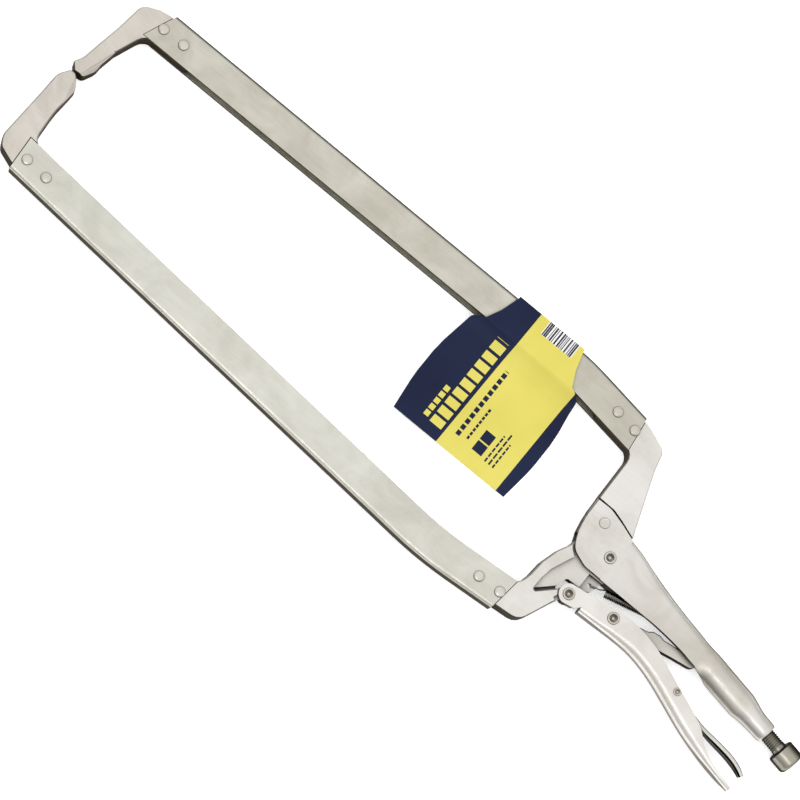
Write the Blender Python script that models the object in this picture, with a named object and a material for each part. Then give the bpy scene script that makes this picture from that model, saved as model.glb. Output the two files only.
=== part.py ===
"""Deep-reach locking C clamp, lying flat, closed and locked.

The drawing plane is the clamp's flat side: X runs along the fixed arm from the
jaws to the handles, Y points from the movable arm to the fixed arm, and Z is
the direction of every hinge pin. Outlines are in millimetres from the main
pivot, and to_world() moves them into the part's frame, in metres.
"""
import math

import bmesh
import bpy
from mathutils import Matrix, Vector

MM = 0.001

# Where the main pivot sits in the part's frame, millimetres.
PIVOT_X = 137.95
PIVOT_Y = -8.26
MID_Z = 8.6

# Stock and fits.
HALF = 7.0            # half thickness of the arms, the forgings and the handles
SHEET = 2.3           # wall of the formed channels
FIT = 0.3             # gap between pieces that touch
JOIN = 0.03           # overlap that makes two solids of one piece join cleanly
TONGUE = HALF - SHEET - FIT
ARM_WIDTH = 22.4
ARM_BEND = 2.8        # outer bend radius of the arm channels
FORGED_EDGE = 0.8     # rounding along the rims of the forgings

# Hinge pins.
JAW_PIVOT = (0.0, 0.0)
HANDLE_PIVOT = (-6.1, -33.3)
LINK_PIVOT = (24.1, -27.5)
LINK_END = (78.0, -17.6)
LEVER_PIVOT = (81.7, -37.4)
HOOK_HOLE = (0.9, -20.4)
NOSE_RIVET = (-15.5, 14.4)

# Adjusting screw: a line through SCREW_POINT at SCREW_ANGLE.
SCREW_POINT = (104.0, -14.3)
SCREW_ANGLE = math.radians(-10.6)
SCREW_TIP = -18.0     # along the screw from SCREW_POINT
TUBE_START = -9.0
TUBE_END = 37.6
KNOB_START = 50.2
KNOB_END = 61.8
TUBE_RADIUS = 8.6
NECK_RADIUS = 6.4
SCREW_RADIUS = 4.8
POINT_RADIUS = 3.6
POINT_END = -8.0
KNOB_RADIUS = 8.4

# Arm rivets, two at each end of each channel.
RIVETS = {
    "upper_front": [(-409.8, 76.8), (-394.5, 77.0)],
    "upper_rear": [(-50.9, 73.2), (-35.9, 70.9)],
    "lower_front": [(-421.1, -38.8), (-405.6, -40.0)],
    "lower_rear": [(-55.0, -59.8), (-39.4, -59.2)],
}
RIVET_SHANK = 2.4
RIVET_HEAD = 3.5
RIVET_DOME = 1.2
PIN_SHANK = 2.9
PIN_HEAD = 4.0
LEVER_PIN = 1.6

# Link, lever, screw spigot, spring and card.
LINK_HALF = 3.0
LEVER_HALF = 4.3
LEVER_SHEET = 1.5
SPIGOT_RADIUS = 3.0
SPIGOT_LENGTH = 6.0
SPRING_RADIUS = 2.7
SPRING_NEAR = 9.0     # clear of the hook hole
SPRING_FAR = 5.0      # clear of the anchor
SPRING_ANCHOR = (63.0, -5.0)
CARD_MIDDLE = -115.6
CARD_FOOT = -11.4
CARD_SHEET = 0.6
CARD_FIT = 0.35

STEEL = (0.61, 0.58, 0.53)
BRIGHT_STEEL = (0.69, 0.67, 0.62)
DARK_STEEL = (0.23, 0.19, 0.15)
CARD_BLUE = (0.02, 0.03, 0.12)


def to_world(x, y, z=0.0):
    return Vector(((x + PIVOT_X) * MM, (y + PIVOT_Y) * MM, (z + MID_Z) * MM))


def clear_scene():
    for item in list(bpy.data.objects):
        bpy.data.objects.remove(item, do_unlink=True)


def metal(name, colour, roughness, metallic=1.0):
    material = bpy.data.materials.new(name)
    material.use_nodes = True
    shader = material.node_tree.nodes["Principled BSDF"]
    shader.inputs["Base Color"].default_value = (*colour, 1.0)
    shader.inputs["Roughness"].default_value = roughness
    shader.inputs["Metallic"].default_value = metallic
    return material


def axis_empty(name, point):
    """An empty on a hinge axis; the pieces that turn there are its children."""
    empty = bpy.data.objects.new(name, None)
    empty.location = to_world(*point)
    bpy.context.collection.objects.link(empty)
    return empty


# ---------------------------------------------------------------- outlines

def arc(centre, radius, start, end, steps):
    """Points on a circle from start to end, in degrees."""
    points = []
    for i in range(steps + 1):
        angle = math.radians(start + (end - start) * i / steps)
        points.append((centre[0] + radius * math.cos(angle), centre[1] + radius * math.sin(angle)))
    return points


def rounded(corners, turn=20.0):
    """An outline from (x, y) or (x, y, radius) corners, each radius as an arc."""
    outline = []
    count = len(corners)
    for i, corner in enumerate(corners):
        here = Vector(corner[:2])
        radius = corner[2] if len(corner) > 2 else 0.0
        if radius <= 0.0:
            outline.append(tuple(here))
            continue
        back = (Vector(corners[i - 1][:2]) - here).normalized()
        ahead = (Vector(corners[(i + 1) % count][:2]) - here).normalized()
        half = back.angle(ahead) / 2.0
        reach = radius / math.tan(half)
        centre = here + (back + ahead).normalized() * radius / math.sin(half)
        first = here + back * reach - centre
        sweep = math.pi - 2.0 * half
        side = 1.0 if back.x * ahead.y - back.y * ahead.x < 0.0 else -1.0
        steps = max(1, round(math.degrees(sweep) / turn))
        for k in range(steps + 1):
            spin = Matrix.Rotation(side * sweep * k / steps, 2)
            outline.append(tuple(centre + spin @ first))
    return outline


# ---------------------------------------------------------------- solids

def build(name, mesh_data, material, parent, smooth=40.0):
    """Make an object from a bmesh whose points are in drawing millimetres."""
    offset = parent.location if parent else Vector((0.0, 0.0, 0.0))
    for vert in mesh_data.verts:
        vert.co = to_world(*vert.co) - offset
    bmesh.ops.recalc_face_normals(mesh_data, faces=mesh_data.faces)
    mesh = bpy.data.meshes.new(name)
    mesh_data.to_mesh(mesh)
    mesh_data.free()
    mesh.materials.append(material)
    mesh.shade_smooth()
    mesh.set_sharp_from_angle(angle=math.radians(smooth))
    item = bpy.data.objects.new(name, mesh)
    bpy.context.collection.objects.link(item)
    item.parent = parent
    return item


def prism(outline, low, high, edge=0.0):
    """Extrude an outline from low to high; edge rounds both rims."""
    data = bmesh.new()
    base = [data.verts.new((x, y, low)) for x, y in outline]
    face = data.faces.new(base)
    moved = bmesh.ops.extrude_face_region(data, geom=[face])["geom"]
    raised = [g for g in moved if isinstance(g, bmesh.types.BMVert)]
    bmesh.ops.translate(data, verts=raised, vec=(0.0, 0.0, high - low))
    if edge > 0.0:
        rims = [e for e in data.edges if abs(e.verts[0].co.z - e.verts[1].co.z) < 1e-6]
        bmesh.ops.bevel(data, geom=rims, offset=edge, segments=1, profile=0.5,
                        affect="EDGES", clamp_overlap=True)
    return data


def loft(rings):
    """Join closed rings of equal length and cap both ends."""
    data = bmesh.new()
    rows = [[data.verts.new(point) for point in ring] for ring in rings]
    count = len(rows[0])
    for first, second in zip(rows, rows[1:]):
        for i in range(count):
            j = (i + 1) % count
            data.faces.new((first[i], first[j], second[j], second[i]))
    data.faces.new(rows[0])
    data.faces.new(rows[-1])
    return data


def turned(profile, steps, centre=(0.0, 0.0)):
    """Turn (radius, z) points about a vertical line; both ends lie on it."""
    data = bmesh.new()
    rings = []
    for radius, z in profile:
        if radius < 1e-6:
            rings.append([data.verts.new((centre[0], centre[1], z))])
            continue
        ring = arc(centre, radius, 0.0, 360.0, steps)[:-1]
        rings.append([data.verts.new((x, y, z)) for x, y in ring])
    for first, second in zip(rings, rings[1:]):
        for i in range(steps):
            j = (i + 1) % steps
            corners = [first[i % len(first)], first[j % len(first)],
                       second[j % len(second)], second[i % len(second)]]
            unique = [v for k, v in enumerate(corners) if v not in corners[:k]]
            data.faces.new(unique)
    return data


def boolean(target, tool, operation):
    modifier = target.modifiers.new(tool.name, "BOOLEAN")
    modifier.operation = operation
    modifier.object = tool
    modifier.solver = "EXACT"
    tool.hide_render = True
    tool.display_type = "WIRE"


def merged(parts):
    """Put several separate solids in one mesh, for use as a cutter."""
    whole = bmesh.new()
    for part in parts:
        scratch = bpy.data.meshes.new("scratch")
        part.to_mesh(scratch)
        part.free()
        whole.from_mesh(scratch)
        bpy.data.meshes.remove(scratch)
    return whole


def cut(target, parts, material, label):
    tool = build(target.name + label, merged(parts), material, target.parent)
    boolean(target, tool, "DIFFERENCE")


def drill(target, centres, radius, material, label=".holes"):
    """Through holes along Z."""
    reach = HALF + 4.0
    parts = [prism(arc(c, radius, 0.0, 360.0, 14)[:-1], -reach, reach) for c in centres]
    cut(target, parts, material, label)


def step_down(target, outline, thickness, material, label=".step"):
    """Thin the target to +-thickness inside an outline, from both sides."""
    reach = HALF + 4.0
    parts = [prism(outline, thickness, reach), prism(outline, -reach, -thickness)]
    cut(target, parts, material, label)


# ---------------------------------------------------------------- channels

def offset_inward(path, wall):
    """Shift an open path of (across, depth) points sideways by a wall."""
    shifted = []
    last = len(path) - 1
    for i in range(len(path)):
        before = Vector(path[max(i - 1, 0)])
        after = Vector(path[min(i + 1, last)])
        along = (after - before).normalized()
        shifted.append((path[i][0] - along.y * wall, path[i][1] + along.x * wall))
    return shifted


def channel_half(depth, bend, half, steps=4):
    """Half of a U section from its web's middle to its lip, as (across, depth)."""
    path = [(0.0, 0.0)]
    for i in range(steps + 1):
        angle = math.pi / 2.0 * i / steps
        path.append((half - bend + bend * math.sin(angle), bend - bend * math.cos(angle)))
    path.append((half, depth))
    return path


def closed_section(half_path, wall):
    """Mirror a half path and give it a wall: one closed ring."""
    outer = [(-a, d) for a, d in reversed(half_path)] + half_path[1:]
    inner = offset_inward(outer, wall)
    return outer + inner[::-1]


def channel(stations, bend, side, wall=SHEET):
    """A U channel along a path of its web's outer face.

    Each station is (x, y, heading in degrees, depth, skew) and may end with a
    half width: the lips lie depth away from the web, to the left of the path
    where side is 1 and to the right where it is -1, and skew moves them along
    the path.
    """
    rings = []
    for x, y, heading, depth, skew, *width in stations:
        half = width[0] if width else HALF
        angle = math.radians(heading)
        along = Vector((math.cos(angle), math.sin(angle)))
        into = Vector((-along.y, along.x)) * side
        ring = []
        for across, down in closed_section(channel_half(depth, min(bend, depth - 0.1), half), wall):
            point = Vector((x, y)) + into * down + along * skew * down / depth
            ring.append((point.x, point.y, across))
        rings.append(ring)
    return loft(rings)


def bent_path(start, heading, run, turn, radius, end_run, steps=5):
    """(x, y, heading) along a straight run, an arc of turn degrees and a second run."""
    angle = math.radians(heading)
    x, y = start
    path = [(x, y, heading)]
    x += run * math.cos(angle)
    y += run * math.sin(angle)
    path.append((x, y, heading))
    chord = 2.0 * radius * math.sin(math.radians(abs(turn)) / steps / 2.0)
    for i in range(steps):
        middle = math.radians(heading + turn * (i + 0.5) / steps)
        x += chord * math.cos(middle)
        y += chord * math.sin(middle)
        path.append((x, y, heading + turn * (i + 1) / steps))
    last = math.radians(heading + turn)
    path.append((x + end_run * math.cos(last), y + end_run * math.sin(last), heading + turn))
    return path


def mix(first, second, share):
    return tuple(a + (b - a) * share for a, b in zip(first, second))


# ---------------------------------------------------------------- fixed side

def upper_arm_channel(material, parent):
    path = bent_path((-408.4, 88.8), 0.0, 313.0, -8.0, 179.0, 36.2)
    stations = [(*point, ARM_WIDTH, 0.0) for point in path]
    stations[0] = (*path[0], ARM_WIDTH, -8.6)
    stations[-1] = (*path[-1], ARM_WIDTH, 6.0)
    item = build("upper_arm_channel", channel(stations, ARM_BEND, -1.0), material, parent)
    drill(item, RIVETS["upper_front"] + RIVETS["upper_rear"], RIVET_SHANK + FIT, material)
    return item


def taper_tip(target, start, end, outside, depth, material):
    """Slope the throat-side rims of a jaw tip so that it ends in a round nose.

    The slope grows from nothing at start to depth at the outside point.
    """
    parts = []
    for side in (1.0, -1.0):
        rim = side * HALF
        top = side * (HALF + 3.0)
        points = [(*start, rim), (*end, rim), (*outside, side * (HALF - depth)),
                  (outside[0] + 1.0, start[1], side * (HALF - 0.6 * depth))]
        data = bmesh.new()
        low = [data.verts.new(p) for p in points]
        high = [data.verts.new((p[0], p[1], top)) for p in points]
        data.faces.new(low)
        data.faces.new(high)
        for i in range(4):
            j = (i + 1) % 4
            data.faces.new((low[i], low[j], high[j], high[i]))
        bmesh.ops.recalc_face_normals(data, faces=data.faces)
        parts.append(data)
    cut(target, parts, material, ".taper")


def upper_jaw(material, parent):
    """Front forging of the fixed arm: tongue in the channel, elbow and tip."""
    outline = rounded([
        (-384.0, 86.1, 1.0), (-416.0, 86.1, 14.0), (-429.2, 80.2, 7.0), (-431.0, 61.0, 30.0),
        (-433.6, 45.0, 40.0), (-435.6, 31.6, 8.0), (-438.7, 26.2, 2.0), (-434.6, 21.6, 1.5),
        (-428.2, 22.2, 3.0), (-424.4, 30.0, 6.0), (-424.6, 41.0, 30.0), (-415.4, 66.8, 9.0),
        (-384.0, 66.8, 1.0)])
    item = build("upper_jaw", prism(outline, -HALF, HALF, FORGED_EDGE), material, parent)
    seam = [(-370.0, 95.0), (-408.6, 95.0), (-409.7, 86.5), (-417.4, 66.1), (-370.0, 66.1)]
    step_down(item, seam, TONGUE, material)
    taper_tip(item, (-424.0, 47.0), (-431.5, 19.0), (-421.5, 19.0), 5.0, material)
    drill(item, RIVETS["upper_front"], RIVET_SHANK + FIT, material)
    return item


def fixed_jaw_base(material, parent):
    """Rear forging of the fixed arm: tongue, elbow and the tongue in the nose."""
    hub_seat = arc(JAW_PIVOT, 12.8, 47.0, 176.0, 9)
    back = [(-60.0, 83.0, 1.0), (-30.5, 79.0, 14.0), (-14.2, 72.6, 6.0), (-11.2, 60.0, 20.0),
            (3.6, 18.6), (4.0, 14.0), (10.0, 11.6)]
    throat = [(-25.2, 0.0), (-27.5, 12.0, 40.0), (-28.0, 40.0, 30.0), (-28.2, 58.2, 7.5),
              (-37.3, 60.1), (-60.0, 63.3, 1.0)]
    outline = rounded(back + hub_seat + throat)
    item = build("fixed_jaw_base", prism(outline, -HALF, HALF, FORGED_EDGE), material, parent)
    seam = [(-75.0, 95.0), (-35.0, 95.0), (-34.2, 82.0), (-31.4, 58.6), (-75.0, 64.7)]
    step_down(item, seam, TONGUE, material, ".channel_step")
    nose = [(-35.0, 24.9), (-15.6, 24.5), (-8.0, 22.3), (4.3, 18.0), (20.0, 12.0),
            (20.0, -8.0), (-35.0, -8.0)]
    step_down(item, nose, TONGUE, material, ".nose_step")
    drill(item, RIVETS["upper_rear"] + [NOSE_RIVET], RIVET_SHANK + FIT, material)
    return item


def handle_section(depth, bend, closure, radius):
    """Half of a section that changes from an open U to a nearly closed tube."""
    turns = 5
    runs = 4
    first = math.radians(12.0)
    seam = math.radians(177.0)
    path = [(0.0, 0.0)]
    for i in range(turns + 1):
        angle = math.pi / 2.0 * i / turns
        square = (HALF - bend + bend * math.sin(angle), bend - bend * math.cos(angle))
        swept = first + (math.pi / 2.0 - first) * i / turns
        tube = (radius * math.sin(swept), radius - radius * math.cos(swept))
        path.append(mix(square, tube, closure))
    for i in range(1, runs + 1):
        square = (HALF, bend + (depth - bend) * i / runs)
        swept = math.pi / 2.0 + (seam - math.pi / 2.0) * i / runs
        tube = (radius * math.sin(swept), radius - radius * math.cos(swept))
        path.append(mix(square, tube, closure))
    return path


def side_plates(outline):
    """Two plates in line with a channel's flanges, a hair thicker so that they join it."""
    inside = HALF - SHEET - JOIN
    outside = HALF + JOIN
    return [prism(outline, inside, outside), prism(outline, -outside, -inside)]


def on_screw_axis(distance, offset=0.0):
    """A point at a distance along the screw's axis and an offset to its left."""
    along = Vector((math.cos(SCREW_ANGLE), math.sin(SCREW_ANGLE)))
    left = Vector((-along.y, along.x))
    return Vector(SCREW_POINT) + along * distance + left * offset


def fixed_handle(material, parent):
    """Formed steel handle: two nose plates, a U that closes into a tube, a neck."""
    lower = -14.4
    # x of the back, y of the back, heading, depth, bend, closure, tube radius
    formed = [
        (5.0, 17.3, -3.0, 31.6, 3.2, 0.0, 8.0),
        (15.0, 15.2, -4.0, 29.6, 4.0, 0.0, 8.0),
        (25.0, 12.2, -5.0, 26.6, 5.0, 0.0, 8.0),
        (37.0, 8.9, -6.0, 23.4, 6.0, 0.0, 8.0),
        (49.0, 5.8, -7.5, 20.4, 6.4, 0.0, 8.0),
        (60.0, 3.3, -8.5, 18.6, 6.4, 0.0, 8.0),
        (72.0, 0.8, -9.6, 17.4, 6.4, 0.0, 8.2),
        (83.5, -1.6, -10.2, 17.2, 6.4, 0.0, 8.4),
        (89.5, -2.8, -10.6, 17.2, 6.4, 0.5, 8.6),
    ]
    rings = []
    for x, y, heading, depth, bend, closure, radius in formed:
        angle = math.radians(heading)
        down = Vector((math.sin(angle), -math.cos(angle)))
        ring = []
        for across, deep in closed_section(handle_section(depth, bend, closure, radius), SHEET):
            point = Vector((x, y)) + down * deep
            ring.append((point.x, point.y, across))
        rings.append(ring)
    tube = [(TUBE_START, TUBE_RADIUS), (13.5, TUBE_RADIUS), (17.0, 8.2), (23.5, NECK_RADIUS + 0.4),
            (27.0, NECK_RADIUS), (TUBE_END - 0.6, NECK_RADIUS), (TUBE_END, NECK_RADIUS - 0.4)]
    for distance, radius in tube:
        wall = min(SHEET, radius - SCREW_RADIUS - 0.35) if distance > 13.5 else SHEET
        back = on_screw_axis(distance, radius)
        down = Vector((math.sin(SCREW_ANGLE), -math.cos(SCREW_ANGLE)))
        ring = []
        for across, deep in closed_section(handle_section(0.0, HALF, 1.0, radius), wall):
            point = back + down * deep
            ring.append((point.x, point.y, across))
        rings.append(ring)
    item = build("fixed_handle", loft(rings), material, parent)

    plate_outline = rounded([
        (-27.4, 24.0, 1.2), (-15.8, 24.0, 12.0), (5.5, 17.2, 0.0), (5.5, 9.0), (16.0, 6.0),
        (16.0, lower), (-9.0, lower, 9.0), (-20.6, -10.2, 10.0), (-25.8, 0.5, 30.0), (-27.4, 12.0, 30.0)])
    plates = side_plates(plate_outline)
    boolean(item, build("fixed_handle.plates", merged(plates), material, parent), "UNION")
    drill(item, [NOSE_RIVET], RIVET_SHANK + FIT, material, ".nose_hole")
    drill(item, [JAW_PIVOT], PIN_SHANK + FIT, material, ".pivot_hole")
    return item


# ---------------------------------------------------------------- movable side

def lower_arm_channel(material, parent):
    path = bent_path((-426.0, -49.6), -4.15, 317.0, 8.65, 270.0, 31.5)
    stations = [(*point, ARM_WIDTH, 0.0) for point in path]
    stations[0] = (*path[0], ARM_WIDTH, -3.5)
    stations[-1] = (*path[-1], ARM_WIDTH, 4.5)
    item = build("lower_arm_channel", channel(stations, ARM_BEND, 1.0), material, parent)
    drill(item, RIVETS["lower_front"] + RIVETS["lower_rear"], RIVET_SHANK + FIT, material)
    return item


def lower_jaw(material, parent):
    """Front forging of the movable arm: tongue in the channel, elbow and tip."""
    outline = rounded([
        (-396.0, -49.0, 1.0), (-426.0, -47.0, 4.0), (-438.4, -42.6, 5.0), (-442.0, -36.0, 8.0),
        (-441.0, 0.0, 60.0), (-441.0, 14.0, 8.0), (-436.2, 21.2, 2.5), (-432.4, 21.2, 2.5),
        (-426.2, 13.0, 5.0), (-427.0, -6.0, 40.0), (-424.9, -28.2, 8.0), (-396.0, -30.2, 1.0)])
    item = build("lower_jaw", prism(outline, -HALF, HALF, FORGED_EDGE), material, parent)
    seam = [(-426.2, -58.0), (-426.4, -49.6), (-428.4, -26.6), (-380.0, -30.1), (-380.0, -60.0)]
    step_down(item, seam, TONGUE, material)
    taper_tip(item, (-426.0, -2.0), (-432.8, 24.0), (-422.0, 24.0), 5.0, material)
    drill(item, RIVETS["lower_front"], RIVET_SHANK + FIT, material)
    return item


def movable_jaw_base(material, parent):
    """Rear forging of the movable arm: curved arm, hook lug, hub and handle lug."""
    lug = arc(HANDLE_PIVOT, 5.8, -112.0, 160.0, 14)
    hub = arc(JAW_PIVOT, 12.2, -32.0, 190.0, 14)
    heel = [(-63.0, -69.4, 1.0), (-32.0, -66.9, 6.0), (-20.0, -65.8, 9.0), (-10.6, -43.6, 3.0)]
    slot = [(-13.0, -34.6), (-23.6, -45.0, 0.9), (-25.0, -43.6, 0.9), (-14.4, -33.2)]
    hook_lug = [(-12.6, -26.0, 2.0), (-4.0, -25.8, 3.0), (3.6, -24.6, 3.4), (6.0, -16.0, 3.0)]
    throat = [(-22.0, -2.6, 2.0), (-24.0, -9.8, 8.0), (-30.4, -22.0, 30.0), (-31.8, -41.0, 16.0),
              (-34.6, -48.0, 5.0), (-39.2, -48.2), (-63.0, -50.1, 1.0)]
    outline = rounded(heel + lug + slot + hook_lug + hub + throat)
    item = build("movable_jaw_base", prism(outline, -HALF, HALF, FORGED_EDGE), material, parent)
    seam = [(-75.0, -80.0), (-38.0, -80.0), (-37.3, -70.0), (-34.5, -46.9), (-75.0, -50.0)]
    step_down(item, seam, TONGUE, material, ".channel_step")
    ear_room = arc(HANDLE_PIVOT, 7.2, 176.0, 222.0, 4) + arc(HANDLE_PIVOT, 9.8, 230.0, 254.0, 2)
    inner = [(-34.0, 4.0), (-26.6, 0.0), (-23.4, -7.4), (-21.0, -10.8), (-17.4, -13.6), (-20.2, -19.8),
             (-23.8, -28.4), (-25.2, -36.0), (-25.4, -43.4), (-24.2, -44.4)]
    inner += ear_room
    inner += [(-8.0, -50.0), (40.0, -50.0), (40.0, 30.0), (-34.0, 30.0)]
    step_down(item, inner, TONGUE, material, ".recess")
    ear = [(-3.6, -30.0), (12.0, -30.0), (12.0, -15.2), (-3.6, -15.2)]
    step_down(item, ear, 1.6, material, ".hook_ear")
    drill(item, RIVETS["lower_rear"], RIVET_SHANK + FIT, material)
    drill(item, [HOOK_HOLE], 1.4, material, ".hook_hole")
    drill(item, [JAW_PIVOT, HANDLE_PIVOT], PIN_SHANK + FIT, material, ".pivot_holes")
    return item


def lower_handle(material, parent):
    """Formed channel: ears at the front, flanges that taper into a flared tail."""
    # x and y of the web's outer face, heading, flange depth, skew of the lips, half width
    formed = [
        (5.0, -38.0, 1.0, 12.6, 0.0),
        (18.0, -37.6, 1.5, 14.8, 0.0),
        (32.0, -37.2, 0.5, 16.2, 0.0),
        (43.0, -37.5, -4.0, 15.2, 0.0),
        (54.0, -39.2, -12.0, 14.4, -1.0),
        (66.0, -42.6, -18.0, 13.2, -2.0),
        (80.0, -47.8, -21.5, 12.6, -3.0),
        (94.0, -53.2, -20.5, 12.6, -3.0),
        (104.0, -56.5, -16.5, 11.2, -1.0),
        (114.0, -59.1, -13.0, 6.6, -1.0, HALF),
        (121.0, -60.6, -11.6, 4.2, 0.0, 6.9),
        (128.0, -61.9, -10.4, 3.2, 0.0, 6.5),
        (134.0, -63.0, -9.5, 3.0, 0.0, 5.8),
        (139.0, -63.8, -8.6, 3.0, 0.0, 4.8),
        (142.6, -64.3, -8.0, 3.0, 0.0, 3.6),
    ]
    bend = 3.2
    item = build("lower_handle", channel(formed, bend, 1.0), material, parent)
    ear_front = arc(HANDLE_PIVOT, 6.3, 95.0, 268.0, 10)
    ear_back = [(1.6, -38.2, 1.5), (5.6, -34.0), (14.0, -33.6), (14.0, -23.8), (5.0, -25.6, 20.0)]
    ear_outline = rounded(ear_front + ear_back)
    ears = side_plates(ear_outline)
    boolean(item, build("lower_handle.ears", merged(ears), material, parent), "UNION")
    drill(item, [HANDLE_PIVOT, LINK_PIVOT], PIN_SHANK + FIT, material, ".pivot_holes")
    drill(item, [LEVER_PIVOT], LEVER_PIN + FIT, material, ".lever_hole")
    return item


def toggle_link(material, parent):
    """Flat forged link from the lower handle to the tip of the screw."""
    run = Vector(LINK_END) - Vector(LINK_PIVOT)
    heading = math.degrees(math.atan2(run.y, run.x))
    along = run.normalized()
    left = Vector((-along.y, along.x))

    def place(distance, offset, *radius):
        point = Vector(LINK_PIVOT) + along * distance + left * offset
        return (point.x, point.y, *radius)

    eye = arc(LINK_PIVOT, 5.0, heading + 60.0, heading + 300.0, 14)
    nose = arc(LINK_END, 3.6, heading - 90.0, heading + 90.0, 8)
    lower_edge = [place(12.0, -3.7, 12.0), place(44.0, -3.4, 12.0)]
    upper_edge = [place(44.0, 3.8, 8.0), place(34.0, 4.2, 2.0), place(31.0, 5.6, 2.0),
                  place(26.0, 5.6, 2.0), place(23.0, 4.0, 2.0), place(12.0, 3.8, 12.0)]
    outline = rounded(eye + lower_edge + nose + upper_edge)
    item = build("toggle_link", prism(outline, -LINK_HALF, LINK_HALF, 0.6), material, parent)
    drill(item, [LINK_PIVOT], PIN_SHANK + FIT, material)
    return item


def release_lever(material, parent):
    """Formed channel lever, hinged between the flanges of the lower handle."""
    # x and y of the web's outer face, heading, flange depth, half width
    formed = [
        (49.0, -31.9, -3.0, 2.2, LEVER_HALF),
        (60.0, -32.6, -6.0, 2.4, LEVER_HALF),
        (70.0, -34.0, -12.0, 4.2, LEVER_HALF),
        (76.0, -34.2, -6.0, 6.4, LEVER_HALF),
        (82.0, -34.6, -10.0, 6.8, LEVER_HALF),
        (90.0, -37.6, -20.0, 6.2, LEVER_HALF),
        (98.0, -40.3, -17.0, 4.6, LEVER_HALF),
        (103.5, -41.8, -12.0, 3.0, LEVER_HALF),
        (110.0, -42.95, -8.9, 2.65, LEVER_HALF),
        (113.5, -43.45, -7.8, 2.75, 5.3),
        (117.0, -43.85, -6.9, 2.8, 6.2),
        (121.0, -44.3, -6.6, 2.8, 6.5),
        (125.0, -44.75, -7.5, 2.8, 6.6),
        (131.0, -45.6, -11.0, 2.8, 6.5),
        (136.5, -46.9, -17.0, 2.8, 6.2),
        (141.0, -48.6, -26.0, 2.6, 5.5),
        (145.0, -50.9, -34.0, 2.2, 4.3),
    ]
    stations = [(x, y, heading, depth, 0.0, half) for x, y, heading, depth, half in formed]
    data = channel(stations, 1.7, -1.0, LEVER_SHEET)
    item = build("release_lever", data, material, parent)
    drill(item, [LEVER_PIVOT], LEVER_PIN + FIT, material)
    return item


# ---------------------------------------------------------------- fasteners

def domed_rivet(name, centre, material, parent):
    """A closed rivet with a low domed head on each side."""
    profile = [(0.0, -HALF - RIVET_DOME), (RIVET_HEAD * 0.72, -HALF - RIVET_DOME * 0.72),
               (RIVET_HEAD, -HALF - FIT * 0.5), (RIVET_SHANK, -HALF - FIT * 0.5)]
    profile += [(radius, -z) for radius, z in reversed(profile)]
    return build(name, turned(profile, 14, centre), material, parent, 60.0)


def dished_rivet(name, centre, material, parent, shank=PIN_SHANK, head=PIN_HEAD, dish=2.0):
    """A hinge rivet: rolled heads with a hollow in the middle of each."""
    profile = [(0.0, -HALF + 0.6), (dish, -HALF - 0.3), (head * 0.78, -HALF - 1.0),
               (head, -HALF - FIT * 0.5), (shank, -HALF - FIT * 0.5)]
    profile += [(radius, -z) for radius, z in reversed(profile)]
    return build(name, turned(profile, 14, centre), material, parent, 60.0)


def along_screw(data):
    """Turn a bmesh made about +Z at the origin so that +Z lies along the screw."""
    axis = Vector((math.cos(SCREW_ANGLE), math.sin(SCREW_ANGLE), 0.0))
    spin = Vector((0.0, 0.0, 1.0)).rotation_difference(axis).to_matrix()
    point = Vector((*SCREW_POINT, 0.0))
    for vert in data.verts:
        vert.co = spin @ vert.co + point
    return data


def adjusting_screw(material, parent):
    """Threaded rod: turned point, plain outline of the thread, spigot in the knob."""
    profile = [(0.0, SCREW_TIP), (2.4, SCREW_TIP + 0.4), (POINT_RADIUS, SCREW_TIP + 2.0),
               (POINT_RADIUS, POINT_END - 1.0), (SCREW_RADIUS, POINT_END),
               (SCREW_RADIUS, KNOB_START - FIT), (SPIGOT_RADIUS, KNOB_START - FIT),
               (SPIGOT_RADIUS, KNOB_START + SPIGOT_LENGTH), (0.0, KNOB_START + SPIGOT_LENGTH)]
    return build("adjusting_screw", along_screw(turned(profile, 20)), material, parent)


def adjusting_knob(material, parent):
    """Round knob pressed on the end of the rod."""
    bore = SPIGOT_RADIUS + FIT
    profile = [(0.0, KNOB_START + SPIGOT_LENGTH + FIT), (bore, KNOB_START + SPIGOT_LENGTH + FIT),
               (bore, KNOB_START), (KNOB_RADIUS - 0.5, KNOB_START), (KNOB_RADIUS, KNOB_START + 0.5),
               (KNOB_RADIUS, KNOB_END - 1.35), (KNOB_RADIUS - 1.35, KNOB_END), (0.0, KNOB_END)]
    return build("adjusting_knob", along_screw(turned(profile, 24)), material, parent)


def jaw_spring(material, parent):
    """Outer shape of the coil spring that opens the jaws."""
    start = Vector((*HOOK_HOLE, 0.0))
    end = Vector((*SPRING_ANCHOR, 0.0))
    run = end - start
    profile = [(0.0, SPRING_NEAR), (SPRING_RADIUS, SPRING_NEAR),
               (SPRING_RADIUS, run.length - SPRING_FAR), (0.0, run.length - SPRING_FAR)]
    data = turned(profile, 10)
    spin = Vector((0.0, 0.0, 1.0)).rotation_difference(run).to_matrix()
    for vert in data.verts:
        vert.co = spin @ vert.co + start
    return build("jaw_spring", data, material, parent)


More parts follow.
